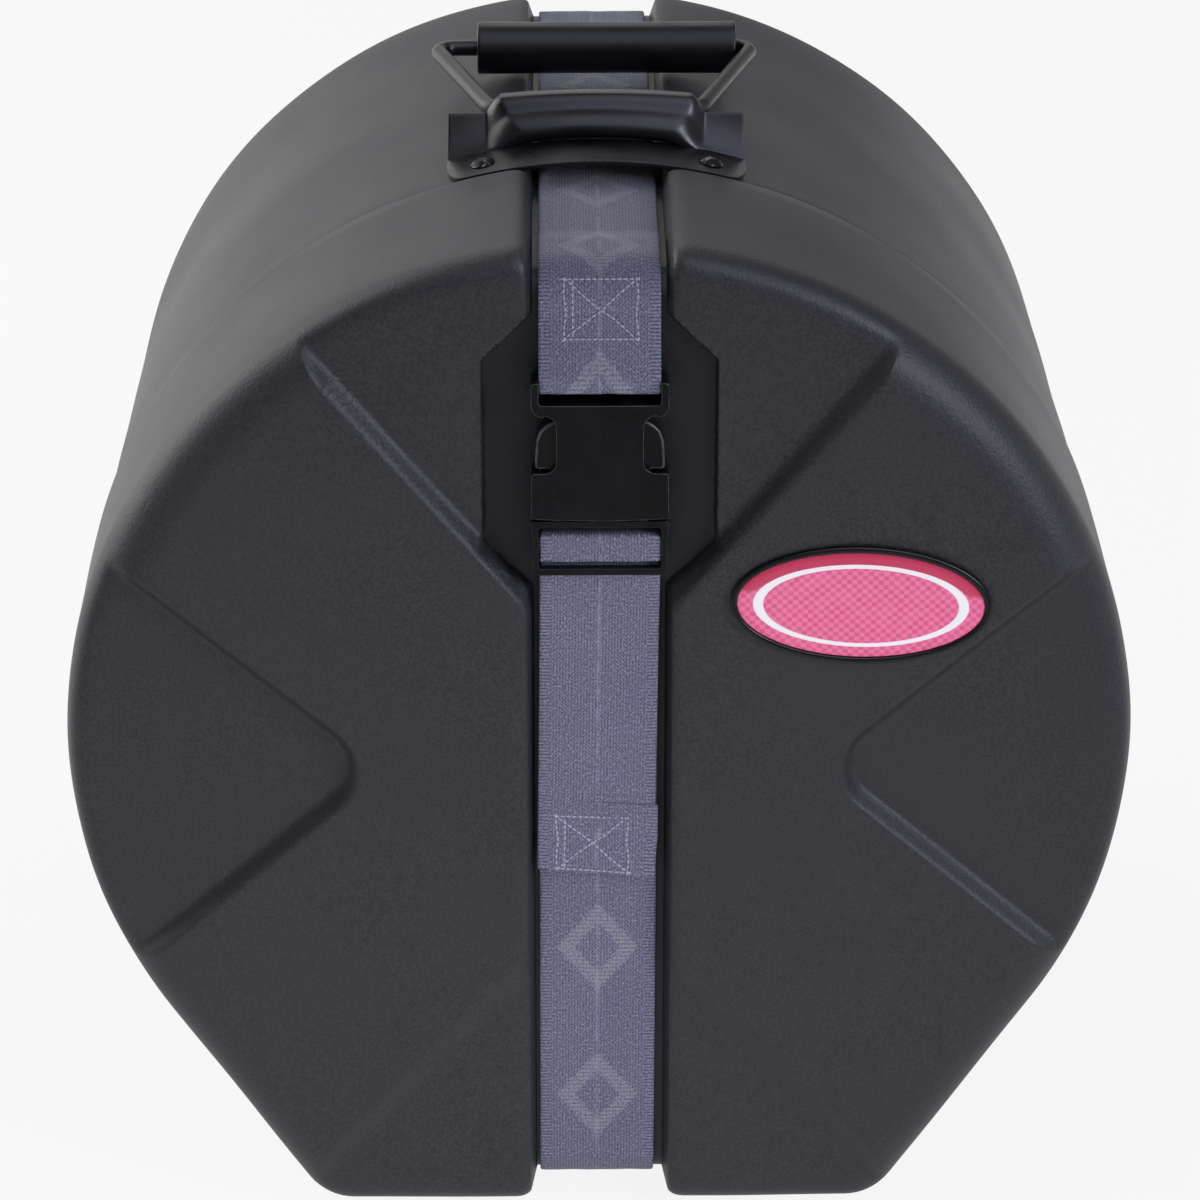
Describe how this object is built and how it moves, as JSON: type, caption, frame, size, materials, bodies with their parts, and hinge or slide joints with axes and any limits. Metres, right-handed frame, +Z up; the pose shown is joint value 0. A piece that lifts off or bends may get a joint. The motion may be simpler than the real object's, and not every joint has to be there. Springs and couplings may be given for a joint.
{
  "type": "drum case",
  "caption": "Rounded drum case with a telescoping front lid, sunk relief panels, a buckled webbing strap in a channel, foam lining and a swinging bail handle.",
  "frame": {"origin": "on the floor plane, under the middle of the whole case's bounding box", "axes": "+Z up; the lid and buckle face -Y; +X is to the right of someone who looks at the lid"},
  "size_m": [0.4436, 0.3916, 0.4597],
  "materials": {
    "shell_plastic": "fine moulded texture",
    "foam": "matt open-cell foam",
    "webbing": "woven nylon",
    "buckle_nylon": "satin",
    "black_steel": "satin black",
    "rivet_steel": "plain",
    "grip_vinyl": "smooth vinyl",
    "bezel_plastic": "gloss",
    "badge_enamel": "printed plate"
  },
  "bodies": {
    "shell": {"case_body": "shell_plastic", "side_foam": "foam", "back_foam": "foam", "strap_back": "webbing", "handle_bracket": "black_steel", "handle_rivet_front_left": "rivet_steel", "handle_rivet_front_right": "rivet_steel", "handle_rivet_back_left": "rivet_steel", "handle_rivet_back_right": "rivet_steel", "rivet_washer_front_left": "rivet_steel", "rivet_washer_front_right": "rivet_steel", "rivet_washer_back_left": "rivet_steel", "rivet_washer_back_right": "rivet_steel"},
    "lid": {"case_lid": "shell_plastic", "lid_foam": "foam", "badge_bezel": "bezel_plastic", "badge_plate": "badge_enamel", "strap_upper": "webbing", "strap_lower": "webbing", "buckle_female": "buckle_nylon", "buckle_male": "buckle_nylon"},
    "prong_left": {"buckle_prong_left": "buckle_nylon"},
    "prong_right": {"buckle_prong_right": "buckle_nylon"},
    "handle": {"handle_bail": "black_steel", "handle_grip": "grip_vinyl"}
  },
  "joints": [
    {"name": "lid_lift", "type": "slide", "parent": "shell", "child": "lid", "axis": [0, -1, 0], "range_m": [0, 0.12]},
    {"name": "handle_swing", "type": "hinge", "parent": "shell", "child": "handle", "pos_m": [0, -0.0302, 0.44871], "axis": [1, 0, 0], "range_deg": [0, 90]},
    {"name": "prong_left_squeeze", "type": "hinge", "parent": "lid", "child": "prong_left", "pos_m": [-0.017, -0.1893, 0.3301], "axis": [0, 1, 0], "range_deg": [0, 6], "stiffness_Nm_per_rad": 0.6},
    {"name": "prong_right_squeeze", "type": "hinge", "parent": "lid", "child": "prong_right", "pos_m": [0.017, -0.1893, 0.3301], "axis": [0, -1, 0], "range_deg": [0, 6], "stiffness_Nm_per_rad": 0.6}
  ]
}
